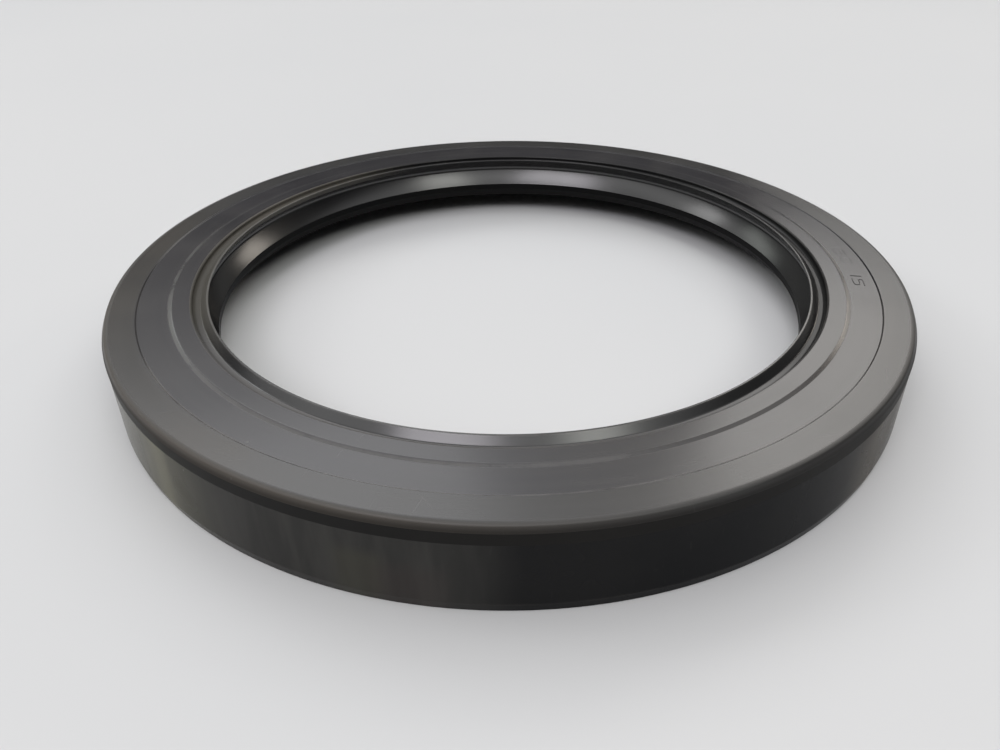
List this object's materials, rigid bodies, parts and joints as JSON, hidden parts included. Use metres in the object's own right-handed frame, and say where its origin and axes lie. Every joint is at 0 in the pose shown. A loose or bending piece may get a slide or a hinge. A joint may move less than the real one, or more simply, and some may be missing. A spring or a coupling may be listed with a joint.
{
  "type": "radial shaft seal",
  "caption": "Rubber-covered rotary shaft seal ring with a flat air-side face, a dust lip, a spring-loaded main lip and an inner steel case.",
  "frame": {"origin": "centre of the oil-side rim, the plane that the seal lies on", "axes": "+Z along the shaft axis, from the oil side to the air side"},
  "size_m": [0.1502, 0.1502, 0.015],
  "materials": {
    "rubber": "satin black nitrile rubber, moulded",
    "case_steel": "cold-rolled sheet, phosphated",
    "spring_steel": "bright drawn wire"
  },
  "bodies": {
    "root": {"rubber_body": "rubber", "steel_case": "case_steel", "garter_spring": "spring_steel"}
  },
  "joints": []
}
